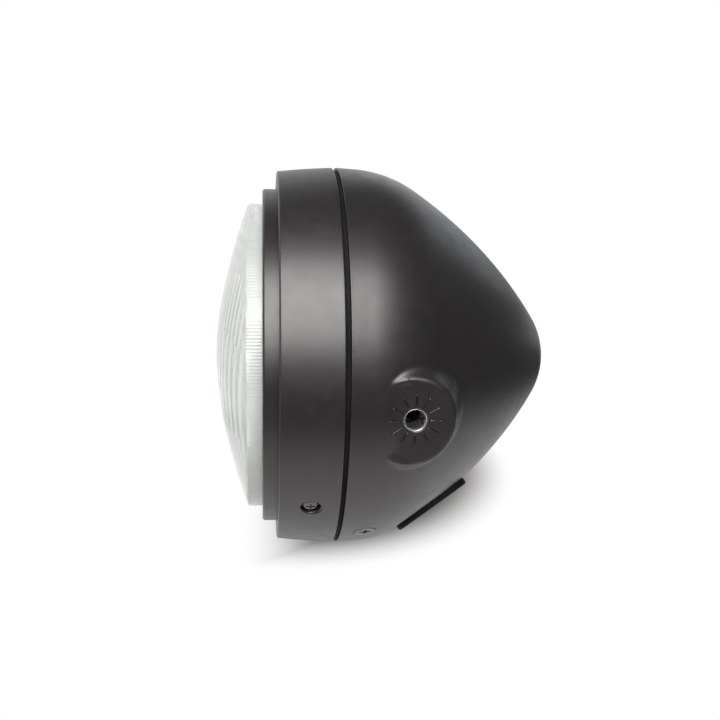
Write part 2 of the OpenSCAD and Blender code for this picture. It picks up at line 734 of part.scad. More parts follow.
filament = bulb_seat - filament_reach;
module bulb_filaments() {
    color("#8c8c8c") {
        disc(bulb_r - 1.2, bulb_back - 2, bulb_back - 0.5);
        for (y = [-4.2, 0, 4.2]) translate([seam_x, y, 0]) rotate([0, 90, 0])
            translate([0, 0, filament - 8]) cylinder(r = 0.45, h = bulb_back - 1 - filament + 8);
        translate([seam_x + filament + 2, -4.2, 0]) rotate([-90, 0, 0]) cylinder(r = 0.5, h = 8.4);
        translate([seam_x + filament - 8, -4.2, 0]) rotate([-90, 0, 0]) cylinder(r = 0.5, h = 8.4);
        translate([seam_x + filament - 6, -4, -3]) difference() {
            cube([9, 8, 2.6]);
            translate([0.8, 0.8, 0.8]) cube([7.4, 6.4, 3]);
        }
    }
}

module bulb_base() {
    color("#c3c4bf") difference() {
        union() {
            disc(bulb_r + 2, bulb_back + fit - 6, bulb_seat + over);
            disc(bulb_flange_r, bulb_seat + fit, bulb_seat + fit + 1.2);
            disc(base_r, bulb_seat + 1, bulb_seat + base_len);
        }
        disc(bulb_r + fit, bulb_back - 10, bulb_back + fit);
    }
}

module blade_places() {
    translate([seam_x + bulb_seat + base_len + fit, 0, 0]) {
        translate([0, 0, 8]) children();
        for (side = [left, right]) translate([0, side * 8.5, -1]) rotate([90, 0, 0]) children();
    }
}
module blade(grow) {
    translate([0, -4 - grow, -0.4 - grow]) cube([9, 8 + 2 * grow, 0.8 + 2 * grow]);
}
module bulb_terminals() {
    color("#c9a86a") blade_places() blade(0);
}

// Wire clip that holds the bulb's flange on the collar.
wire_r = 0.8;
module bulb_clip() {
    color("#c9cac6") translate([seam_x + bulb_seat + 1.3 + wire_r + fit, 0, 0]) {
        difference() {
            rotate([0, 90, 0]) rotate_extrude() translate([bulb_hole_r, 0]) circle(r = wire_r, $fn = 48);
            translate([-wire_r - over, -30, 0]) cube([2 * wire_r + 2 * over, 60, 30]);
        }
        for (y = [-bulb_hole_r, bulb_hole_r]) translate([0, y, -0.01]) cylinder(r = wire_r, h = 6, $fn = 48);
    }
}

// Soft boot over the back of the bulb.
module rubber_boot() {
    t = 1.6;
    grip = collar_r + fit;
    bead = grip + t + 0.8;
    cap = base_r + 3;
    back = bulb_seat + base_len + 4.5;
    color("#171717") difference() {
        lathe([[grip, bulb_seat - 3.5], [bead, bulb_seat - 3.5], [bead, bulb_seat - 1], [grip + t, bulb_seat + 1],
               [grip + t, bulb_seat + 5], [cap, back - 5.5], [cap, back], [0, back], [0, back - 2],
               [cap - t, back - 2], [cap - t, back - 6], [grip, bulb_seat + 4.5]]);
        blade_places() blade(0.2);
    }
}

park_bulb_r = 4.2;
park_bulb_len = 7;
module parking_bulb() {
    color("#e8ecec", 0.6) on_park() translate([0, 0, -park_bulb_len]) {
        cylinder(r = park_bulb_r, h = park_bulb_len);
        sphere(r = park_bulb_r);
    }
}

module parking_socket() {
    color("#1c1c1c") on_park() difference() {
        union() {
            translate([0, 0, -2]) cylinder(r = park_socket_r - fit, h = 6);
            translate([0, 0, 3.1]) cylinder(r = park_socket_r + 1.5, h = 2);
            translate([0, 0, 4]) cylinder(r = park_socket_r - 0.5, h = 12);
        }
        translate([0, 0, -3]) cylinder(r = park_bulb_r + fit, h = 3.1);
    }
}

housing_shell();
side_bush_left();
side_bush_right();
cable_grommet();
shell_screw_left();
shell_screw_right();
shell_screw_nuts();
lower_bracket();
ring_screw_nuts();
rim_seal();
trim_ring();
top_hook();
ring_screw_left();
ring_screw_right();
retaining_ring();
lens_gasket();
lens_glass();
reflector();
clamp_ring();
clamp_screws();
spring_clips();
bulb_glass();
bulb_filaments();
bulb_base();
bulb_terminals();
bulb_clip();
rubber_boot();
parking_bulb();
parking_socket();
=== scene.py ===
"""Round motorcycle headlight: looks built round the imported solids.

Units are metres. The lamp's axis lies along X, it faces -X, and +Z is up.
Shapes are made in millimetres in a lamp frame, whose X is the station behind the seam,
and scaled at the end.
"""

import math

import bmesh
import bpy
import numpy as np
from mathutils import Matrix, Vector


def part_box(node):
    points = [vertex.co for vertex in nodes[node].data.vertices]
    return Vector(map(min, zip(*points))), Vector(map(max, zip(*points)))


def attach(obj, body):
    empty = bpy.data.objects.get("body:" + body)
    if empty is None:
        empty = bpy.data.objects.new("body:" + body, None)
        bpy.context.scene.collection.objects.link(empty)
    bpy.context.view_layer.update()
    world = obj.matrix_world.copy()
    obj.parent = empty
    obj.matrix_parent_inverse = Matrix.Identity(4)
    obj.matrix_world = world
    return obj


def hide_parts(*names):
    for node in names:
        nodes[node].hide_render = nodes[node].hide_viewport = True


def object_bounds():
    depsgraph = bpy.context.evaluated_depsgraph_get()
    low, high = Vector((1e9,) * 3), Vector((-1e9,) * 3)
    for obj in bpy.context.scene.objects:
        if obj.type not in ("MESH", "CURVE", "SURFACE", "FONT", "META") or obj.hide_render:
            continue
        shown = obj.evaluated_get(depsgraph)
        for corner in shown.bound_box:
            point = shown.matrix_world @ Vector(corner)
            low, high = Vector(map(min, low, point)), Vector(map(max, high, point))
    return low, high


MM = 0.001
WHITE = (1.0, 1.0, 1.0)
MERGE_DISTANCE = 0.002 * MM
CREASE = math.radians(32)

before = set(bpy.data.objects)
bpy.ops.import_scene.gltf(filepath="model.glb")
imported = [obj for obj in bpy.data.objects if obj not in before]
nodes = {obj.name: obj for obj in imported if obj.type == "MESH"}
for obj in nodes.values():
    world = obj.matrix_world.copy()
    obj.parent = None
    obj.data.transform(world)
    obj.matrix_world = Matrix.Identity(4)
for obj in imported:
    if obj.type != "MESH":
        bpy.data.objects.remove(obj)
cad_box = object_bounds()
scene = bpy.context.scene
scene.view_settings.view_transform = "Standard"

# Lengths in millimetres. Most follow the solids' source. The pads, the fine ribs, the gap round the
# flat screw and the tilt of the grommet are fitted to the photograph.
SHELL_R = 99.56
SHELL_WALL = 1.5
SHELL_TAPER = math.radians(3)
SHELL_STRAIGHT = 11.0
SHOULDER_R = 61.6
SHOULDER_END = math.radians(32.4)
FLANK_R = 241.3
FLANK_END = math.radians(55.1)
SEAM_GAP = 2.1
LIP_LEN = 7.5
LIP_OUT = SHELL_R - 3.5
LIP_IN = LIP_OUT - SHELL_WALL
BOLT_SETBACK = 30.0
PAD_RISE = 2.1
PAD_FLAT = 17.0
PAD_EDGE = 1.9
PAD_AHEAD = 0.8
PAD_ABOVE = 0.95
PAD_BELOW = 0.85
PAD_SINK = 0.009
PAD_SINK_BELOW = 1.7 * PAD_SINK
PAD_DRAFT = math.radians(19)
PAD_FOOT_REAR = 2.4
PAD_FOOT_FRONT = 6.0
PAD_FACE_BLEND = 1.3
THREAD_R = 3.4
BUSH_R = 5.4
BUSH_LEN = 14.0
BUSH_FLANGE_R = 9.0
RIB_COUNT = 12
RIB_IN = 6.2
RIB_OUT = 12.4
RIB_HALF_WIDTH = 0.42
RIB_HEIGHT = 0.5
TRIM_R = SHELL_R - 0.1
TRIM_WALL = 1.4
TRIM_CROWN = 430.0
TRIM_SLOPE = math.radians(3.2)
TRIM_FRONT = 29.3
TRIM_BACK = SEAM_GAP / 2
RING_SCREW_ANGLE = 28.5
RING_SCREW_STATION = 14.6
DISH_R = 4.6
RING_HEAD_R = 3.7
SHELL_SCREW_STATION = 13.4
SHELL_SCREW_ANGLE = 44.5
CSK_R = 5.9
CSK_THREAD_R = 3.0
CSK_DEPTH = 3.0
CSK_HEAD_R = CSK_R - 0.5
BEZEL_WALL = 2.0
BEZEL_FACE = TRIM_FRONT + 7.3
BEZEL_LIP = 1.5
LENS_WALL = 4.5
LENS_CORNER = 43.9
DOME_MID_R = 148.0
DOME_RIM_R = 308.0
DOME_MID_END = math.radians(10)
FLUTE_PITCH = 8.6
FLUTE_PITCH_OUTER = 6.2
FLUTE_R = 7.0
FLUTE_H = 1.2
BLOCK_HALF = 22.0
PRISM_START = 52.0
FOCAL = 27.5
BULB_HOLE_R = 18.0
FILAMENT_REACH = 29.5
PARK_R = 45.0
PARK_SOCKET_R = 6.5
GROMMET_ANGLE = 54.5
GROMMET_TILT = math.radians(33)
SEAT_DEPTH = 1.8
SEAT_SOFT = 0.25
SEAT_MARGIN = 0.8
PRESS_DEPTH = 2
FILL_DEPTH = 4
GROMMET_STATION = 50.4
GROMMET_LEN = 43.5
GROMMET_W = 25.0
GROMMET_T = 2.9
LEFT = 1
RIGHT = -1

# Camera: the photograph's own viewpoint, found from the lamp's circles.
SEAM_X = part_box("housing_shell")[0][0] + (LIP_LEN + 1) * MM
CAMERA_AHEAD = 36.3 * MM
CAMERA_DISTANCE = 440.4 * MM
CAMERA_ELEVATION = math.radians(17.3)
CAMERA_TURN = math.radians(6.84)
CAMERA_PITCH = math.radians(0.37)
CAMERA_FOV = math.radians(48.03)


def add_camera():
    away = Vector((0, -math.cos(CAMERA_ELEVATION), math.sin(CAMERA_ELEVATION)))
    along = Vector((1, 0, 0))
    up = Vector((0, math.sin(CAMERA_ELEVATION), math.cos(CAMERA_ELEVATION)))
    look = -away * math.cos(CAMERA_TURN) + along * math.sin(CAMERA_TURN)
    right = along * math.cos(CAMERA_TURN) + away * math.sin(CAMERA_TURN)
    look = look * math.cos(CAMERA_PITCH) - up * math.sin(CAMERA_PITCH)
    up = right.cross(look)
    data = bpy.data.cameras.new("photo_camera")
    data.sensor_fit = "HORIZONTAL"
    data.angle = CAMERA_FOV
    data.clip_start = 0.01
    data.clip_end = 50
    camera = bpy.data.objects.new("photo_camera", data)
    bpy.context.collection.objects.link(camera)
    turn = Matrix((right, up, -look)).transposed().to_4x4()
    place = Vector((SEAM_X - CAMERA_AHEAD, 0, 0)) + away * CAMERA_DISTANCE
    camera.matrix_world = Matrix.Translation(place) @ turn
    scene.camera = camera


# Materials
NOISE_SPAN = (0.3, 0.7)
NOISE_STEPS = (0.35, 0.65)
RIM_RIBS = 330
RIM_STARTS = (0.0785, 0.0795)
PALE_REFLECTION_SPAN = (0.03, 0.078)


class Tree:
    """A node tree, with short calls for the nodes used here."""

    def __init__(self, tree):
        self.tree = tree

    def add(self, kind, **values):
        """Makes a node. A value goes to the socket of that name, or else to the node itself."""
        node = self.tree.nodes.new(kind)
        for key, value in values.items():
            socket = key.replace("_", " ")
            if socket in node.inputs:
                node.inputs[socket].default_value = value
            else:
                setattr(node, key, value)
        return node

    def link(self, source, target):
        self.tree.links.new(source, target)

    def feed(self, node, sources):
        """Fills a node's first sockets with the outputs of others or with plain values."""
        for socket, source in zip(node.inputs, sources):
            if isinstance(source, bpy.types.NodeSocket):
                self.link(source, socket)
            else:
                socket.default_value = source

    def math(self, operation, *sources):
        node = self.add("ShaderNodeMath", operation=operation)
        self.feed(node, sources)
        return node.outputs["Value"]

    def measure(self, operation, *sources):
        """A number from vectors, such as a length or a distance."""
        node = self.add("ShaderNodeVectorMath", operation=operation)
        self.feed(node, sources)
        return node.outputs["Value"]

    def ramp(self, source, span, levels, shape="SMOOTHSTEP"):
        """Goes from the first level to the second as the source goes through the span."""
        node = self.add("ShaderNodeMapRange", interpolation_type=shape, From_Min=span[0],
                        From_Max=span[1], To_Min=levels[0], To_Max=levels[1])
        self.link(source, node.inputs["Value"])
        return node.outputs["Result"]

    def place(self, kind="Object"):
        return self.add("ShaderNodeTexCoord").outputs[kind]

    def parts(self, vector):
        split = self.add("ShaderNodeSeparateXYZ")
        self.feed(split, [vector])
        return split.outputs

    def rays(self, *kinds):
        """A value that is 1 for the given kinds of rays and 0 for others."""
        path = self.add("ShaderNodeLightPath")
        total = path.outputs[kinds[0]]
        for kind in kinds[1:]:
            total = self.math("MAXIMUM", total, path.outputs[kind])
        return total

    def finish(self, share, first, second, output):
        """Sends a mix of two shaders to the tree's output."""
        mix = self.add("ShaderNodeMixShader")
        self.feed(mix, (share, first.outputs[0], second.outputs[0]))
        self.link(mix.outputs[0], self.tree.nodes[output].inputs["Surface"])


class Shader(Tree):
    """A material with one principled surface."""

    def __init__(self, name):
        self.material = bpy.data.materials.new(name)
        self.material.use_nodes = True
        super().__init__(self.material.node_tree)
        self.surface = self.tree.nodes["Principled BSDF"]

    def set(self, **values):
        for key, value in values.items():
            self.surface.inputs[key.replace("_", " ")].default_value = value

    def noise(self, scale, detail=3, rough=0.5):
        noise = self.add("ShaderNodeTexNoise", Scale=scale, Detail=detail, Roughness=rough)
        self.link(self.place(), noise.inputs["Vector"])
        return noise.outputs["Fac"]

    def roughness(self, noise, low, high):
        spread = self.ramp(noise, NOISE_SPAN, (low, high), "LINEAR")
        self.link(spread, self.surface.inputs["Roughness"])

    def colours(self, noise, first, second):
        ramp = self.add("ShaderNodeValToRGB")
        for stop, position, colour in zip(ramp.color_ramp.elements, NOISE_STEPS, (first, second)):
            stop.position = position
            stop.color = (*colour, 1)
        self.link(noise, ramp.inputs["Fac"])
        self.link(ramp.outputs["Color"], self.surface.inputs["Base Color"])

    def bump(self, height, depth, strength):
        bump = self.add("ShaderNodeBump", Strength=strength, Distance=depth)
        self.link(height, bump.inputs["Height"])
        self.link(bump.outputs["Normal"], self.surface.inputs["Normal"])


def satin_paint():
    shader = Shader("satin_black_paint")
    shader.set(Specular_IOR_Level=1.0, Specular_Tint=(1.0, 0.965, 0.96, 1))
    shader.colours(shader.noise(18, 4), (0.0054, 0.005, 0.0049), (0.0083, 0.0077, 0.0075))
    shader.roughness(shader.noise(140), 0.37, 0.42)
    shader.bump(shader.noise(1800, 2), 0.00002, 0.25)
    return shader.material


def metal(name, colour, rough, depth=0.00001):
    shader = Shader(name)
    shader.set(Metallic=1.0)
    dull = tuple(0.82 * c for c in colour)
    shader.colours(shader.noise(90, 4), dull, colour)
    shader.roughness(shader.noise(500, 3, 0.6), rough * 0.8, rough * 1.3)
    shader.bump(shader.noise(900, 3, 0.6), depth, 0.3)
    return shader.material


def rubber():
    shader = Shader("black_rubber")
    shader.set(Specular_IOR_Level=0.15)
    shader.colours(shader.noise(60, 4), (0.005, 0.005, 0.005), (0.009, 0.0088, 0.0085))
    shader.roughness(shader.noise(300), 0.68, 0.8)
    shader.bump(shader.noise(1400, 4), 0.00004, 0.4)
    return shader.material


def plastic():
    shader = Shader("black_plastic")
    shader.colours(shader.noise(60, 4), (0.014, 0.014, 0.014), (0.024, 0.023, 0.023))
    shader.roughness(shader.noise(300), 0.35, 0.5)
    shader.bump(shader.noise(2200), 0.00003, 0.3)
    return shader.material


def lamp_glass():
    """Pressed glass with fine ribs round its rim, clear in the middle. Outward, a growing pale
    diffuse share is a painted reflection of the white studio seen in the reflector behind it.
    """
    shader = Shader("pressed_glass")
    shader.set(Transmission_Weight=0.9, IOR=1.47)
    shader.colours(shader.noise(40), (0.91, 0.94, 0.91), (0.95, 0.97, 0.95))
    shader.roughness(shader.noise(120), 0.02, 0.05)
    place = shader.parts(shader.place())
    flat = shader.add("ShaderNodeCombineXYZ")
    shader.feed(flat, (place["Y"], place["Z"]))
    away = shader.measure("LENGTH", flat.outputs["Vector"])
    # Painted reflection: less transmission outward lets the pale base colour show as diffuse
    # whiteness.
    clear = shader.ramp(away, PALE_REFLECTION_SPAN, (0.95, 0.68), "LINEAR")
    shader.link(clear, shader.surface.inputs["Transmission Weight"])
    turn = shader.add("ShaderNodeTexGradient", gradient_type="RADIAL")
    shader.link(flat.outputs["Vector"], turn.inputs["Vector"])
    phase = shader.math("MULTIPLY", turn.outputs["Fac"], RIM_RIBS * 2 * math.pi)
    wave = shader.math("SINE", phase)
    on_rim = shader.ramp(away, RIM_STARTS, (0.0, 1.0), "LINEAR")
    shader.bump(shader.math("MULTIPLY", wave, on_rim), 0.00015, 0.3)
    return shader.material


def clear_glass():
    shader = Shader("clear_glass")
    shader.set(Transmission_Weight=1.0, IOR=1.47, Base_Color=(0.98, 0.99, 0.99, 1))
    shader.roughness(shader.noise(120, 2), 0.0, 0.02)
    return shader.material


def mirror_coat():
    shader = Shader("reflector_coat")
    shader.set(Metallic=1.0)
    shader.colours(shader.noise(30), (0.86, 0.87, 0.88), (0.92, 0.92, 0.93))
    shader.roughness(shader.noise(80), 0.05, 0.1)
    shader.bump(shader.noise(60, 2), 0.00003, 0.2)
    return shader.material


def dress(name, material):
    node = nodes[name]
    if not node.data.materials:
        node.data.materials.append(material)
    for slot in node.material_slots:
        slot.material = material


PAINT = satin_paint()
RUBBER = rubber()
PLATED = metal("zinc_plate", (0.62, 0.62, 0.6), 0.3)
BLUISH = metal("blue_zinc", (0.2, 0.21, 0.235), 0.45, depth=0.000004)
DARK = metal("dark_zinc", (0.16, 0.155, 0.15), 0.3)
TURNED = metal("turned_steel", (0.74, 0.73, 0.72), 0.3, depth=0.0000002)
# Painted sheen: a lighter metal for the pad ribs, so that they shine more than the black paint
# round them.
RIB_SHEEN_METAL = metal("rib_painted_sheen", (0.095, 0.093, 0.09), 0.3, depth=0.000002)
BRASS = metal("brass_blade", (0.8, 0.62, 0.32), 0.25)
GLASS = lamp_glass()
MIRROR = mirror_coat()
BULB = clear_glass()
MOULDED = plastic()


def dress_inner_nodes():
    finishes = {
        "rim_seal": RUBBER, "lens_gasket": RUBBER, "rubber_boot": RUBBER,
        "shell_screw_nuts": PLATED, "ring_screw_nuts": PLATED, "lower_bracket": PLATED,
        "top_hook": PLATED, "clamp_ring": PLATED, "clamp_screws": PLATED,
        "spring_clips": PLATED, "bulb_clip": PLATED, "bulb_base": TURNED,
        "bulb_filaments": DARK, "bulb_terminals": BRASS, "bulb_glass": BULB,
        "parking_bulb": BULB, "parking_socket": MOULDED,
    }
    for name, material in finishes.items():
        dress(name, material)


# Mesh building. Points are [station, y, z] in millimetres.
RING_STEPS = 360
SMALL_STEPS = 64


def finish_mesh(data):
    work = bmesh.new()
    work.from_mesh(data)
    bmesh.ops.remove_doubles(work, verts=work.verts, dist=MERGE_DISTANCE)
    bmesh.ops.recalc_face_normals(work, faces=work.faces)
    work.to_mesh(data)
    work.free()
    data.shade_smooth()
    data.set_sharp_from_angle(angle=CREASE)


def make_object(name, points, faces, material):
    places = np.array(points, dtype=float) * MM
    places[:, 0] += SEAM_X
    data = bpy.data.meshes.new(name)
    data.from_pydata(places.tolist(), [], faces)
    data.materials.append(material)
    finish_mesh(data)
    made = bpy.data.objects.new(name, data)
    bpy.context.collection.objects.link(made)
    return made


def combine(piece, others, operation):
    """Cuts the others from a piece, or adds them, and removes them."""
    for other in others:
        step = piece.modifiers.new("combine", "BOOLEAN")
        step.operation = operation
        step.solver = "EXACT"
        step.object = other
        bpy.context.view_layer.objects.active = piece
        bpy.ops.object.modifier_apply(modifier=step.name)
        bpy.data.objects.remove(other)
    finish_mesh(piece.data)


def settle(piece, *replaced, slot=None):
    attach(piece, "root")
    if replaced:
        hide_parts(*replaced)


def grid_faces(rows, columns, close_rows=False, close_columns=True):
    last_row = rows if close_rows else rows - 1
    last_column = columns if close_columns else columns - 1
    return [(i * columns + j, i * columns + (j + 1) % columns,
             (i + 1) % rows * columns + (j + 1) % columns, (i + 1) % rows * columns + j)
            for i in range(last_row) for j in range(last_column)]


def turned(outline, angles, closed=True):
    """Turns a [radius, station] outline about the lamp's axis."""
    outline = np.asarray(outline, dtype=float)
    radius, station = outline[:, 0][:, None], outline[:, 1][:, None]
    y = -radius * np.cos(angles)[None, :]
    z = radius * np.sin(angles)[None, :]
    points = np.stack((np.broadcast_to(station, y.shape), y, z), axis=-1).reshape(-1, 3)
    return points, grid_faces(len(outline), len(angles), close_rows=closed)


def even_angles(count):
    return np.arange(count) * 2 * math.pi / count


def rounded(corners, steps=5):
    """An outline with filleted corners. A corner is (radius, station, fillet)."""
    outline = []
    count = len(corners)
    for i, (radius, station, fillet) in enumerate(corners):
        here = np.array([radius, station], dtype=float)
        if fillet == 0:
            outline.append(here)
            continue
        before = np.array(corners[i - 1][:2], dtype=float) - here
        after = np.array(corners[(i + 1) % count][:2], dtype=float) - here
        reach = min(np.linalg.norm(before), np.linalg.norm(after))
        before /= np.linalg.norm(before)
        after /= np.linalg.norm(after)
        half = math.acos(np.clip(before @ after, -1, 1)) / 2
        cut = min(fillet / math.tan(half), 0.48 * reach)
        size = cut * math.tan(half)
        middle = (before + after) / np.linalg.norm(before + after)
        centre = here + middle * size / math.sin(half)
        first = here + before * cut - centre
        last = here + after * cut - centre
        start = math.atan2(first[1], first[0])
        sweep = (math.atan2(last[1], last[0]) - start + math.pi) % (2 * math.pi) - math.pi
        for k in range(steps + 1):
            angle = start + sweep * k / steps
            outline.append(centre + size * np.array([math.cos(angle), math.sin(angle)]))
    return outline


def moved(points, matrix):
    points = np.asarray(points, dtype=float)
    turn = np.array(matrix)
    return points @ turn[:3, :3].T + turn[:3, 3]


def on_side(side, below, station):
    turn = Matrix.Rotation(side * math.radians(90 + below), 4, "X")
    return Matrix.Translation((station, 0, 0)) @ turn


def on_bolt(side):
    return on_side(side, 0, BOLT_SETBACK)


def upright_piece(name, outline, count, matrix, material, closed=True):
    """Turns a [radius, height] outline about its own Z axis and puts the result in place."""
    outline = np.asarray(outline, dtype=float)
    angles = even_angles(count)
    radius, height = outline[:, 0][:, None], outline[:, 1][:, None]
    x = radius * np.cos(angles)[None, :]
    y = radius * np.sin(angles)[None, :]
    points = np.stack((x, y, np.broadcast_to(height, x.shape)), axis=-1).reshape(-1, 3)
    faces = grid_faces(len(outline), count, close_rows=closed)
    return make_object(name, moved(points, matrix), faces, material)


def box_piece(name, low, high, matrix, material):
    x, y, z = zip(low, high)
    points = [(x[i], y[j], z[k]) for i in (0, 1) for j in (0, 1) for k in (0, 1)]
    faces = [(0, 1, 3, 2), (4, 6, 7, 5), (0, 4, 5, 1), (2, 3, 7, 6), (0, 2, 6, 4), (1, 5, 7, 3)]
    return make_object(name, moved(points, matrix), faces, material)


def smooth_step(x, low, high):
    t = np.clip((x - low) / (high - low), 0, 1)
    return t * t * (3 - 2 * t)


# Shell: three tangent arcs behind a straight front, with a blended pad on each side.
STRAIGHT_END = np.array([SHELL_R - SHELL_STRAIGHT * math.tan(SHELL_TAPER), SHELL_STRAIGHT])


def heading(angle):
    return np.array([math.cos(angle), math.sin(angle)])


SHOULDER_C = STRAIGHT_END - SHOULDER_R * heading(SHELL_TAPER)
FLANK_C = SHOULDER_C + (SHOULDER_R - FLANK_R) * heading(SHOULDER_END)
BACK_R = FLANK_R + FLANK_C[0] / math.cos(FLANK_END)
BACK_C = FLANK_C + (FLANK_R - BACK_R) * heading(FLANK_END)


def shell_radius(station):
    return SHOULDER_C[0] + math.sqrt(SHOULDER_R ** 2 - (station - SHOULDER_C[1]) ** 2)


PAD_FACE = shell_radius(BOLT_SETBACK) + PAD_RISE
PAD_ZONE_OUT = 45
PAD_ZONE_HALF = 60
SKIN_STEPS = (12, 42, 88, 16)
LINING_STEPS = (4, 12, 20, 8)
FINE_HALF = 23
FINE_COUNT = 104
COARSE_COUNT = 112


def arc_points(centre, radius, first, last, count):
    angles = np.linspace(first, last, count + 1)[1:]
    return centre + radius * np.stack((np.cos(angles), np.sin(angles)), axis=-1)


def skin_profile(inset, start, steps):
    straight = np.linspace(start, SHELL_STRAIGHT, steps[0] + 1)
    front = np.stack((SHELL_R - straight * math.tan(SHELL_TAPER) - inset, straight), axis=-1)
    shoulder = arc_points(SHOULDER_C, SHOULDER_R - inset, SHELL_TAPER, SHOULDER_END, steps[1])
    flank = arc_points(FLANK_C, FLANK_R - inset, SHOULDER_END, FLANK_END, steps[2])
    back = arc_points(BACK_C, BACK_R - inset, FLANK_END, math.pi / 2, steps[3])
    back[-1, 0] = 0
    return np.concatenate((front, shoulder, flank, back))


def pad_height(behind, across, face):
    """Height of the pad above the lamp's axis, and the distance past the edge of its flat face.

    behind and across are measured from the bolt axis. In front of it the face sinks.
    """
    sink = np.where(across < 0, PAD_SINK_BELOW, PAD_SINK)
    across = across * np.where(across < 0, PAD_BELOW, PAD_ABOVE)
    away = np.hypot(behind * np.where(behind > 0, 1, PAD_AHEAD), across) - PAD_FLAT
    face = face - sink * np.maximum(-behind - 1, 0) ** 2
    turn_end = PAD_EDGE * math.cos(PAD_DRAFT)
    turn_drop = PAD_EDGE * (1 - math.sin(PAD_DRAFT))
    turn = PAD_EDGE - np.sqrt(np.maximum(PAD_EDGE ** 2 - np.clip(away, 0, turn_end) ** 2, 0))
    wall = turn_drop + (away - turn_end) / math.tan(PAD_DRAFT)
    return face - np.where(away > turn_end, wall, turn), away


def pad_surface(station, across, height, inset=0):
    """Height of the shell with its pad. The fillet between them is wide in front, narrow behind."""
    behind = station - BOLT_SETBACK
    pad, away = pad_height(behind, across, PAD_FACE - inset)
    rise = PAD_FACE - inset - height
    in_front = 1 - smooth_step(behind, -6, 12)
    foot = PAD_FOOT_REAR + (PAD_FOOT_FRONT - PAD_FOOT_REAR) * in_front
    blend = (PAD_FACE_BLEND * smooth_step(rise, -3, 0)
             + foot * smooth_step(away, -2.5, 2) * smooth_step(rise, -0.6, 3))
    blend = np.maximum(blend, 0.05)
    overlap = np.maximum(blend - np.abs(height - pad), 0)
    return np.maximum(height, pad) + overlap ** 2 / (4 * blend)


def raise_pads(points, inset):
    """Moves the shell's points outward on to the pads."""
    station, across = points[:, 0], points[:, 2]
    height = np.abs(points[:, 1])
    near = (height > PAD_ZONE_OUT) & (np.abs(across) < PAD_ZONE_HALF)
    raised = np.where(near, pad_surface(station, across, height, inset), height)
    points[:, 1] = np.sign(points[:, 1]) * raised


SEAT_DIR = np.array([math.sin(GROMMET_TILT), math.cos(GROMMET_TILT)])
SEAT_H = FLANK_C[1] * SEAT_DIR[0] + FLANK_C[0] * SEAT_DIR[1] + FLANK_R - SEAT_DEPTH
SEAT_RADIUS = (SEAT_H - GROMMET_STATION * SEAT_DIR[0]) / SEAT_DIR[1]


def on_seat():
    lift = Matrix.Translation((0, 0, SEAT_RADIUS)) @ Matrix.Rotation(GROMMET_TILT, 4, "Y")
    return on_side(LEFT, GROMMET_ANGLE, GROMMET_STATION) @ lift


def flatten_seat(points, inset):
    """Presses the shell's points down to the grommet's seat and lifts those under it up to it."""
    seat = np.array(on_seat())
    along, aside, above = ((points - seat[:3, 3]) @ seat[:3, :3]).T
    above = above + inset
    press = (above + np.sqrt(above ** 2 + SEAT_SOFT ** 2)) / 2
    press = np.where(above > -PRESS_DEPTH, press, 0)
    reach = np.maximum(np.abs(along) - (GROMMET_LEN - GROMMET_W) / 2, 0)
    inside = np.hypot(reach, aside) < GROMMET_W / 2 - SEAT_MARGIN
    press = np.where(inside & (above > -FILL_DEPTH), above, press)
    points -= press[:, None] * seat[None, :3, 2]


def shell_angles():
    """Finer steps round both sides, where the pads and the flat screws are."""
    fine = np.radians(np.linspace(-FINE_HALF, FINE_HALF, FINE_COUNT))
    coarse = np.radians(np.linspace(FINE_HALF, 180 - FINE_HALF, COARSE_COUNT))[1:-1]
    return np.concatenate((fine, coarse, fine + math.pi, coarse + math.pi))


def shell_cutters(side):
    """The shapes of a side's bush hole and countersunk hole."""
    hole, mouth = BUSH_R + 0.05, BUSH_R + 0.35
    bottom, top = PAD_FACE - 8, PAD_FACE + 5
    bore = [(0, bottom), (hole, bottom), (hole, PAD_FACE - 0.25), (mouth, PAD_FACE + 0.05),
            (mouth, top), (0, top)]
    shank, rim = CSK_THREAD_R + 0.1, CSK_R + 0.2
    cone = [(0, -8), (shank, -8), (shank, -CSK_DEPTH), (CSK_R + 0.08, -0.02), (rim, 0.1),
            (rim, 3), (0, 3)]
    return [upright_piece("bush_hole", bore, SMALL_STEPS, on_bolt(side), PAINT, closed=False),
            upright_piece("screw_hole", cone, SMALL_STEPS, on_screw(side), PAINT, closed=False)]


def build_shell():
    front = SEAM_GAP / 2
    back = front + SHELL_WALL
    outer = skin_profile(0, front + 0.8, SKIN_STEPS)
    inner = skin_profile(SHELL_WALL, back, LINING_STEPS)
    mouth = rounded([(SHELL_R - 2 * math.tan(SHELL_TAPER), 2, 0), (SHELL_R, front, 0.7),
                     (LIP_OUT, front, 0.5), (LIP_OUT, -LIP_LEN, 0.7), (LIP_IN, -LIP_LEN, 0.7),
                     (LIP_IN, back, 0.5), (SHELL_R - SHELL_WALL, back, 0)])[1:-1]
    outline = np.concatenate((outer[::-1], mouth, inner))
    angles = shell_angles()
    points, faces = turned(outline, angles, closed=False)
    skin = points[:len(outer) * len(angles)]
    lining = points[-len(inner) * len(angles):]
    for part, inset in ((skin, 0), (lining, SHELL_WALL)):
        raise_pads(part, inset)
        flatten_seat(part, inset)
    shell = make_object("shell_skin", points, faces, PAINT)
    combine(shell, shell_cutters(LEFT) + shell_cutters(RIGHT), "DIFFERENCE")
    settle(shell, "housing_shell")


def on_screw(side):
    slope = math.asin((SHELL_SCREW_STATION - SHOULDER_C[1]) / SHOULDER_R)
    lift = Matrix.Translation((0, 0, shell_radius(SHELL_SCREW_STATION)))
    tilt = Matrix.Rotation(slope, 4, "Y")
    return on_side(side, SHELL_SCREW_ANGLE, SHELL_SCREW_STATION) @ lift @ tilt


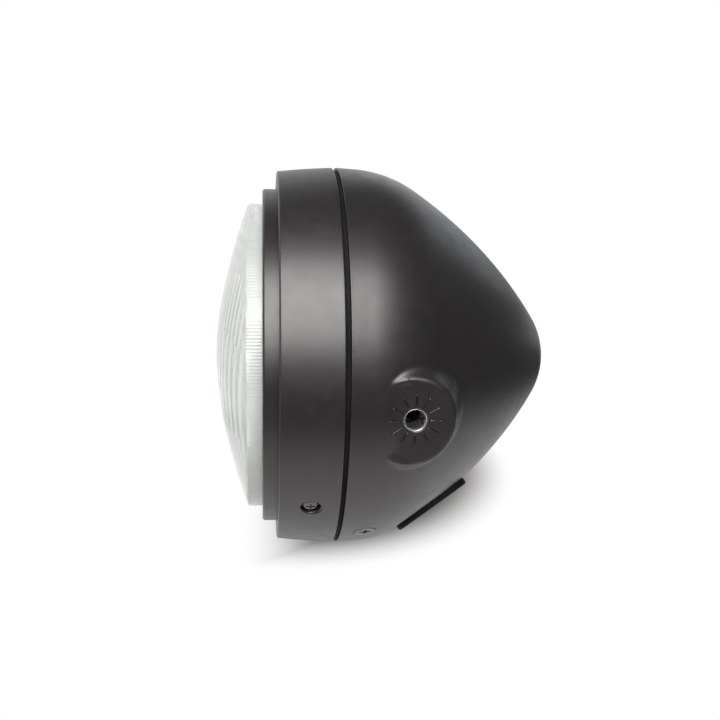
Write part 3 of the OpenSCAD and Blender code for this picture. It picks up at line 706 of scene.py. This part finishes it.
def build_ribs(side, name):
    """Fine pressed ribs that run out from the bush, each with tapered ends."""
    along, around = 14, 12
    t = np.linspace(-1, 1, along)
    taper = np.sqrt(np.maximum(1 - t ** 6, 0))
    reach = (RIB_IN + RIB_OUT) / 2 + t * (RIB_OUT - RIB_IN) / 2
    angles = even_angles(around)
    x = np.broadcast_to(reach[:, None], (along, around))
    y = RIB_HALF_WIDTH * taper[:, None] * np.cos(angles)[None, :]
    z = PAD_FACE + RIB_HEIGHT * taper[:, None] * np.sin(angles)[None, :]
    rib = np.stack((x, y, z), axis=-1).reshape(-1, 3)
    points, faces = [], []
    for turn in even_angles(RIB_COUNT):
        first = len(points)
        points.extend(moved(rib, Matrix.Rotation(turn, 4, "Z")).tolist())
        faces.extend(tuple(first + v for v in face) for face in grid_faces(along, around))
    points = moved(points, on_bolt(side))
    skin = skin_profile(0, SEAM_GAP, SKIN_STEPS)
    radius = np.interp(points[:, 0], skin[:, 1], skin[:, 0])
    plain = np.sqrt(radius ** 2 - points[:, 2] ** 2)
    lift = pad_surface(points[:, 0], points[:, 2], plain) - PAD_FACE
    points[:, 1] += np.sign(points[:, 1]) * lift
    # The ribs take the lighter metal as a painted sheen.
    ribs = make_object(name, points, faces, RIB_SHEEN_METAL)
    settle(ribs, slot="housing_shell")


def build_bush(side, name, replaced):
    top = PAD_FACE - 0.3
    bottom = PAD_FACE - BUSH_LEN
    flange = PAD_FACE - SHELL_WALL - 0.1
    under = flange - 2
    outline = rounded([(THREAD_R, bottom, 0.3), (BUSH_R, bottom, 0.3), (BUSH_R, under, 0.2),
                       (BUSH_FLANGE_R, under, 0.4), (BUSH_FLANGE_R, flange, 0.2),
                       (BUSH_R, flange, 0.1), (BUSH_R, top, 0.3), (BUSH_R - 0.4, top, 0.25),
                       (BUSH_R - 0.8, top - 0.8, 0.6), (THREAD_R + 0.4, top - 5, 2),
                       (THREAD_R, top - 7, 0.3)])
    settle(upright_piece(name, outline, 96, on_bolt(side), TURNED), replaced)


# Trim ring and retaining ring
CROWN_END = math.asin(math.sin(TRIM_SLOPE) + (TRIM_FRONT - TRIM_BACK - 1) / TRIM_CROWN)
CROWN_C = TRIM_R - TRIM_CROWN * math.cos(TRIM_SLOPE)
FRONT_R = CROWN_C + TRIM_CROWN * math.cos(CROWN_END)
BEZEL_R = FRONT_R - 9.2
TRIM_OPENING_R = BEZEL_R + 0.2
BARREL_IN = BEZEL_R - BEZEL_WALL
LENS_FLANGE_R = BARREL_IN - 0.5
LENS_R = LENS_FLANGE_R - 5.1
BEZEL_FLANGE_R = BEZEL_R + 5.5
BEZEL_FLANGE_FRONT = TRIM_FRONT - TRIM_WALL - 0.1
LENS_BACK = BEZEL_FLANGE_FRONT - 0.1
LENS_FLANGE_FRONT = BEZEL_FACE - BEZEL_LIP - 1.6 - 0.2
TAB_TOP = LIP_IN - 0.5
DISH_TOP = TAB_TOP + 1.3


def skirt_radius(ahead):
    slope = math.asin(math.sin(TRIM_SLOPE) + (ahead - TRIM_BACK) / TRIM_CROWN)
    return CROWN_C + TRIM_CROWN * math.cos(slope)


def trim_cutters(side, surface):
    """A side's boss under the skirt, and the dish and shank hole that are cut into it."""
    place = on_side(side, RING_SCREW_ANGLE, -RING_SCREW_STATION)
    boss = rounded([(0, DISH_TOP - 1.2, 0), (DISH_R + 1, DISH_TOP - 1.2, 0.4),
                    (DISH_R + 1, surface - 0.7, 0), (0, surface - 0.7, 0)])
    mouth = DISH_R + 0.75
    dish = rounded([(0, DISH_TOP, 0), (DISH_R, DISH_TOP, 0.5), (DISH_R, surface - 0.75, 0.7),
                    (mouth, surface + 0.02, 0), (mouth, surface + 4, 0), (0, surface + 4, 0)])
    low, high = DISH_TOP - 4, DISH_TOP + 0.5
    shank = [(0, low), (2.2, low), (2.2, high), (0, high)]
    return (upright_piece("boss", boss, SMALL_STEPS, place, PAINT, closed=False),
            upright_piece("dish", dish, SMALL_STEPS, place, PAINT, closed=False),
            upright_piece("shank_hole", shank, 32, place, PAINT, closed=False))


def build_trim_ring():
    ahead = np.linspace(TRIM_BACK + 2, TRIM_FRONT - 2, 14)
    outside = [(skirt_radius(a), -a, 0) for a in ahead]
    inside = [(skirt_radius(a) - TRIM_WALL, -a, 0) for a in ahead[::-1]]
    outline = rounded([(TRIM_R, -TRIM_BACK, 1.25)] + outside
                      + [(FRONT_R, -TRIM_FRONT, 1.1), (TRIM_OPENING_R, -TRIM_FRONT, 0.4),
                         (TRIM_OPENING_R, -TRIM_FRONT + TRIM_WALL, 0.3),
                         (FRONT_R - TRIM_WALL, -TRIM_FRONT + TRIM_WALL, 0.5)] + inside
                      + [(TRIM_R - TRIM_WALL - 0.1, -TRIM_BACK, 0.3)], 6)
    points, faces = turned(outline, even_angles(RING_STEPS))
    ring = make_object("trim_skirt", points, faces, PAINT)
    surface = skirt_radius(RING_SCREW_STATION)
    left, right = trim_cutters(LEFT, surface), trim_cutters(RIGHT, surface)
    combine(ring, [left[0], right[0]], "UNION")
    combine(ring, left[1:] + right[1:], "DIFFERENCE")
    settle(ring, "trim_ring")


def build_retaining_ring():
    opening = LENS_R + 0.7
    flange = -BEZEL_FLANGE_FRONT
    flange_back = flange + 1.5
    lip_back = -BEZEL_FACE + BEZEL_LIP
    outline = rounded([(opening, -BEZEL_FACE, 0.4), (BEZEL_R, -BEZEL_FACE, 1.5),
                       (BEZEL_R, flange, 0.2), (BEZEL_FLANGE_R, flange, 0.3),
                       (BEZEL_FLANGE_R, flange_back, 0.3), (BARREL_IN, flange_back, 0.3),
                       (BARREL_IN, lip_back, 0.3), (opening, lip_back, 0.3)], 6)
    points, faces = turned(outline, even_angles(RING_STEPS))
    settle(make_object("bezel_ring", points, faces, PAINT), "retaining_ring")


# Screws
def cross_cutters(reach, width, depth, matrix):
    """The two slots of a cross recess and the cone in their middle."""
    half = width / 2
    middle = [(0, -depth - 0.6), (width * 0.85, -depth * 0.4), (width * 0.85, 1), (0, 1)]
    return [box_piece("cross_a", (-reach, -half, -depth), (reach, half, 1), matrix, DARK),
            box_piece("cross_b", (-half, -reach, -depth), (half, reach, 1), matrix, DARK),
            upright_piece("cross_c", middle, 24, matrix, DARK, closed=False)]


def raised(matrix, height):
    return matrix @ Matrix.Translation((0, 0, height))


def build_ring_screw(side, name, replaced):
    place = raised(on_side(side, RING_SCREW_ANGLE, -RING_SCREW_STATION), DISH_TOP)
    outline = rounded([(0, -8, 0), (2, -8, 0.3), (2, 0.05, 0), (RING_HEAD_R, 0.05, 0.2),
                       (RING_HEAD_R, 1.5, 0.7), (2.6, 2.15, 1.5), (0, 2.35, 0)])
    screw = upright_piece(name, outline, SMALL_STEPS, place, DARK, closed=False)
    combine(screw, cross_cutters(2.1, 0.95, 1.3, raised(place, 2.3)), "DIFFERENCE")
    settle(screw, replaced)


def build_shell_screw(side, name, replaced):
    place = on_screw(side)
    outline = rounded([(0, -15, 0), (CSK_THREAD_R, -15, 0.4), (CSK_THREAD_R, -CSK_DEPTH, 0),
                       (CSK_HEAD_R, -0.3, 0.1), (CSK_HEAD_R, 0.02, 0.15), (0, 0.1, 0)])
    screw = upright_piece(name, outline, SMALL_STEPS, place, BLUISH, closed=False)
    combine(screw, cross_cutters(CSK_R * 0.46, 1.7, 3.0, raised(place, 0.08)), "DIFFERENCE")
    settle(screw, replaced)


# Grommet: a rounded slab on the seat, with its neck and inner flange.
def stadium(outline, length, width, count=24):
    """Sweeps an [inset, height] outline round a slot's rim and closes both ends."""
    straight = (length - width) / 2
    angles = np.concatenate((np.linspace(-math.pi / 2, math.pi / 2, count),
                             np.linspace(math.pi / 2, 3 * math.pi / 2, count)))
    shift = np.concatenate((np.full(count, straight), np.full(count, -straight)))
    points = []
    for inset, height in outline:
        radius = width / 2 - inset
        points.extend(np.stack((shift + radius * np.cos(angles), radius * np.sin(angles),
                                np.full(2 * count, height)), axis=-1).tolist())
    columns = 2 * count
    faces = grid_faces(len(outline), columns)
    last = (len(outline) - 1) * columns
    faces.append(tuple(range(columns))[::-1])
    faces.append(tuple(last + i for i in range(columns)))
    return points, faces


def build_grommet():
    neck = SHELL_WALL + 0.2
    outline = rounded([(7.2, -neck - 2, 0), (3, -neck - 2, 0.6), (3, -neck - 1, 0.3),
                       (0.4, -neck - 1, 0.4), (0, 0, 0.3), (0, GROMMET_T, 1.2),
                       (7.2, GROMMET_T, 0)])
    points, faces = stadium(outline, GROMMET_LEN, GROMMET_W)
    grommet = make_object("cable_blank", moved(points, on_seat()), faces, RUBBER)
    settle(grommet, "cable_grommet")


# Lens
LENS_ROUND = 1.2
LENS_COLUMNS = 201
BLOCK_STEP = 0.04
DOME_SHIFT = (DOME_MID_R - DOME_RIM_R) * math.sin(DOME_MID_END)
DOME_TILT = math.asin((LENS_R - LENS_ROUND - DOME_SHIFT) / DOME_RIM_R)
DOME_MID_SAG = DOME_MID_R * (1 - math.cos(DOME_MID_END))
DOME_SAG = DOME_MID_SAG + DOME_RIM_R * (math.cos(DOME_MID_END) - math.cos(DOME_TILT))
LENS_FRONT = LENS_CORNER + DOME_SAG + 0.4
LENS_BORE = LENS_R - LENS_WALL
INNER_SAG = DOME_SAG * 0.97
INNER_R = (LENS_BORE ** 2 + INNER_SAG ** 2) / (2 * INNER_SAG)
INNER_RIM = -LENS_FRONT + LENS_WALL + INNER_R - math.sqrt(INNER_R ** 2 - LENS_BORE ** 2)


def flute(place, pitch):
    """Height of a row of rounded flutes at a distance across them."""
    off = place - pitch * np.round(place / pitch)
    return np.maximum(np.sqrt(FLUTE_R ** 2 - off ** 2) - (FLUTE_R - FLUTE_H), 0)


def lens_inside(y, z, block):
    ridge = (flute(z, FLUTE_PITCH_OUTER) if block == "cross"
             else flute(y, FLUTE_PITCH if block == "middle" else FLUTE_PITCH_OUTER))
    away = np.hypot(y, z)
    fade = 1 - smooth_step(away, LENS_BORE - 1.6, LENS_BORE - 0.2)
    sphere = -LENS_FRONT + LENS_WALL + INNER_R - np.sqrt(INNER_R ** 2 - away ** 2)
    return sphere + ridge * fade


def lens_rows():
    """Heights of the inner grid's rows, each with its block's kind. Blocks meet in a small step."""
    heights, blocks = [], []
    borders = (-LENS_BORE, -BLOCK_HALF, BLOCK_HALF, PRISM_START, LENS_BORE)
    for k, name in enumerate(("outer", "middle", "outer", "cross")):
        first, last = (math.asin(border / LENS_BORE) for border in borders[k:k + 2])
        count = max(int(round(math.degrees(last - first))), 4)
        rows = LENS_BORE * np.sin(np.linspace(first, last, count + 1))
        rows[0] += BLOCK_STEP * (k > 0)
        heights.extend(rows.tolist())
        blocks.extend([name] * len(rows))
    return np.array(heights), blocks


def lens_outline():
    """The outside of the lens, from the middle of its dome round the flange to the bore."""
    dome = [(DOME_MID_R * math.sin(t), -LENS_FRONT + DOME_MID_R * (1 - math.cos(t)))
            for t in np.linspace(0, DOME_MID_END, 12)]
    rim_front = -LENS_FRONT + DOME_MID_SAG + DOME_RIM_R * math.cos(DOME_MID_END)
    dome += [(DOME_SHIFT + DOME_RIM_R * math.sin(t), rim_front - DOME_RIM_R * math.cos(t))
             for t in np.linspace(DOME_MID_END, DOME_TILT, 22)[1:]]
    rim = rounded([(*dome[-1], 0), (LENS_R, -LENS_CORNER + 0.15, 1.1),
                   (LENS_R, -LENS_FLANGE_FRONT, 0.4), (LENS_FLANGE_R, -LENS_FLANGE_FRONT, 0.4),
                   (LENS_FLANGE_R, -LENS_BACK, 0.4), (LENS_BORE, -LENS_BACK, 0.4),
                   (LENS_BORE, -LENS_BACK - 4, 0), (LENS_BORE, INNER_RIM, 0)])
    return dome + rim[1:]


def build_lens():
    """The inner face is a grid of rows across the bore. The outside is turned on its rim."""
    heights, blocks = lens_rows()
    across = np.linspace(-1, 1, LENS_COLUMNS)
    rows = []
    for z, block in zip(heights, blocks):
        y = across * math.sqrt(max(LENS_BORE ** 2 - z ** 2, 0))
        level = np.full_like(y, z)
        rows.append(np.stack((lens_inside(y, level, block), y, level), axis=-1))
    inner = np.concatenate(rows)
    faces = grid_faces(len(heights), LENS_COLUMNS, close_columns=False)
    rim = np.arcsin(np.clip(heights / LENS_BORE, -1, 1))
    angles = np.concatenate((rim, (math.pi - rim)[::-1][1:-1]))
    outside, outer_faces = turned(lens_outline(), angles, closed=False)
    faces.extend(tuple(v + len(inner) for v in face) for face in outer_faces)
    lens = make_object("lens_pressing", np.concatenate((inner, outside)), faces, GLASS)
    settle(lens, "lens_glass")


# Reflector
DISH_MOUTH = LENS_BORE - 0.4
REFLECTOR_FRONT = -LENS_BACK + 0.1
REFLECTOR_FLANGE = 1.4
REFLECTOR_WALL = 1.2
APEX = REFLECTOR_FRONT + REFLECTOR_FLANGE + DISH_MOUTH ** 2 / (4 * FOCAL)
BULB_SEAT = APEX - FOCAL + FILAMENT_REACH


def bowl(radius):
    return APEX - radius ** 2 / (4 * FOCAL)


def build_reflector():
    collar = BULB_HOLE_R + 3.5
    radii = np.linspace(BULB_HOLE_R, DISH_MOUTH, 60)
    front = [(r, bowl(r)) for r in radii]
    back = []
    for r in radii[::-1]:
        slope = math.atan(r / (2 * FOCAL))
        outer = r + REFLECTOR_WALL * math.sin(slope)
        if outer > collar + 0.3:
            back.append((outer, bowl(r) + REFLECTOR_WALL * math.cos(slope)))
    flange = [(DISH_MOUTH, REFLECTOR_FRONT), (LENS_FLANGE_R - 0.2, REFLECTOR_FRONT),
              (LENS_FLANGE_R - 0.2, REFLECTOR_FRONT + REFLECTOR_FLANGE),
              (DISH_MOUTH + REFLECTOR_WALL, REFLECTOR_FRONT + REFLECTOR_FLANGE)]
    neck = [(collar, back[-1][1]), (collar, BULB_SEAT), (BULB_HOLE_R, BULB_SEAT)]
    points, faces = turned(front + flange + back + neck, even_angles(256))
    dish = make_object("reflector_dish", points, faces, MIRROR)
    park_slope = math.atan(2 * FOCAL / PARK_R)
    lift = Matrix.Translation((0, 0, PARK_R)) @ Matrix.Rotation(park_slope, 4, "Y")
    place = on_side(LEFT, 90, bowl(PARK_R)) @ lift
    hole = [(0, -8), (PARK_SOCKET_R, -8), (PARK_SOCKET_R, 12), (0, 12)]
    combine(dish, [upright_piece("park_hole", hole, 48, place, MIRROR, closed=False)], "DIFFERENCE")
    settle(dish, "reflector")


# Studio. To glossy rays it is bright behind the lamp and dim elsewhere, like a photo tent.
FLOOR_Z = cad_box[0][2] - 2 * MM
FLOOR_HALF = 6.0
AMBIENT = 0.35
BRIGHT_SIDE = (-0.45, 0.89, 0.0)
SHADOW_CENTRE = (-0.04, 0.09, FLOOR_Z)
SHADOW_EDGE = (0.1, 0.145)
KEY_UP = math.radians(46)
CLEAR_RAYS = ("Is Camera Ray", "Is Transmission Ray")
SHOWN_RAYS = (*CLEAR_RAYS, "Is Glossy Ray")


def add_world():
    """White to the camera and through glass, bright on one side in reflections, else soft."""
    world = bpy.data.worlds.new("studio")
    world.use_nodes = True
    scene.world = world
    tree = Tree(world.node_tree)
    ambient = tree.tree.nodes["Background"]
    ambient.inputs["Color"].default_value = (*WHITE, 1)
    ambient.inputs["Strength"].default_value = AMBIENT
    facing = tree.measure("DOT_PRODUCT", tree.place("Generated"), BRIGHT_SIDE)
    side = tree.ramp(facing, (0.5, 0.88), (0.11, 1.0))
    shown = tree.add("ShaderNodeBackground", Color=(*WHITE, 1))
    tree.link(tree.math("MAXIMUM", tree.rays(*CLEAR_RAYS), side), shown.inputs["Strength"])
    tree.finish(tree.rays(*SHOWN_RAYS), ambient, shown, "World Output")


def floor_material():
    """Painted shadow: near the lamp, where its shadow falls, the floor is a dark warm grey lit by
    the lamps, and plain white beyond it. To reflections it glows white, brighter near the lamp and
    on the bright side.
    """
    shader = Shader("pale_floor_painted_shadow")
    # Painted shadow: this dark warm grey base deepens the lamp's shadow where the floor is not
    # white.
    shader.set(Base_Color=(0.24, 0.222, 0.21, 1), Roughness=0.9)
    place = shader.place()
    near = shader.ramp(shader.measure("LENGTH", place), (0.14, 0.37), (1.0, 0.1))
    facing = shader.measure("DOT_PRODUCT", place, BRIGHT_SIDE)
    side = shader.ramp(facing, (0.05, 0.25), (0.1, 0.95))
    level = shader.math("MAXIMUM", shader.rays(*CLEAR_RAYS), shader.math("MAXIMUM", near, side))
    shown = shader.add("ShaderNodeEmission", Color=(*WHITE, 1))
    shader.link(level, shown.inputs["Strength"])
    split = shader.parts(place)
    # Where the painted shadow lies: round SHADOW_CENTRE, cut off ahead of the lamp and far behind
    # it.
    reach = shader.measure("DISTANCE", place, SHADOW_CENTRE)
    beyond = shader.ramp(reach, SHADOW_EDGE, (0.0, 1.0))
    ahead = shader.ramp(split["X"], (-0.08, -0.02), (1.0, 0.0))
    behind = shader.ramp(split["Y"], (0.07, 0.16), (0.0, 1.0))
    white = shader.math("MAXIMUM", shader.math("MAXIMUM", beyond, ahead), behind)
    share = shader.math("MULTIPLY", white, shader.rays(*SHOWN_RAYS))
    shader.finish(share, shader.surface, shown, "Material Output")
    return shader.material


def add_floor():
    corners = [(x * FLOOR_HALF, y * FLOOR_HALF, FLOOR_Z)
               for x, y in ((-1, -1), (1, -1), (1, 1), (-1, 1))]
    data = bpy.data.meshes.new("floor")
    data.from_pydata(corners, [], [(0, 1, 2, 3)])
    data.materials.append(floor_material())
    floor = bpy.data.objects.new("floor", data)
    bpy.context.collection.objects.link(floor)


def add_light(name, direction, distance, size, power, colour=WHITE):
    data = bpy.data.lights.new(name, "AREA")
    data.shape = "RECTANGLE"
    data.size, data.size_y = size
    data.energy = power
    data.color = colour
    light = bpy.data.objects.new(name, data)
    bpy.context.collection.objects.link(light)
    back = Vector(direction).normalized()
    light.location = Vector((SEAM_X, 0, 0)) + back * distance
    light.rotation_euler = back.to_track_quat("Z", "Y").to_euler()
    light.visible_camera = False


def add_lights():
    add_light("key", (-0.18, -math.cos(KEY_UP), math.sin(KEY_UP)), distance=0.9,
              size=(1.0, 0.74), power=14)
    add_light("rear_top", (0.55, 0.85, 0.38), distance=1.1,
              size=(0.9, 0.5), power=1.2, colour=(0.9, 0.95, 1.0))


add_camera()
dress_inner_nodes()
build_shell()
for side, word in ((LEFT, "left"), (RIGHT, "right")):
    build_ribs(side, "pad_ribs_" + word)
    build_bush(side, "bush_" + word, "side_bush_" + word)
    build_ring_screw(side, "pan_screw_" + word, "ring_screw_" + word)
    build_shell_screw(side, "flat_screw_" + word, "shell_screw_" + word)
build_trim_ring()
build_retaining_ring()
build_grommet()
build_lens()
build_reflector()
add_world()
add_floor()
add_lights()
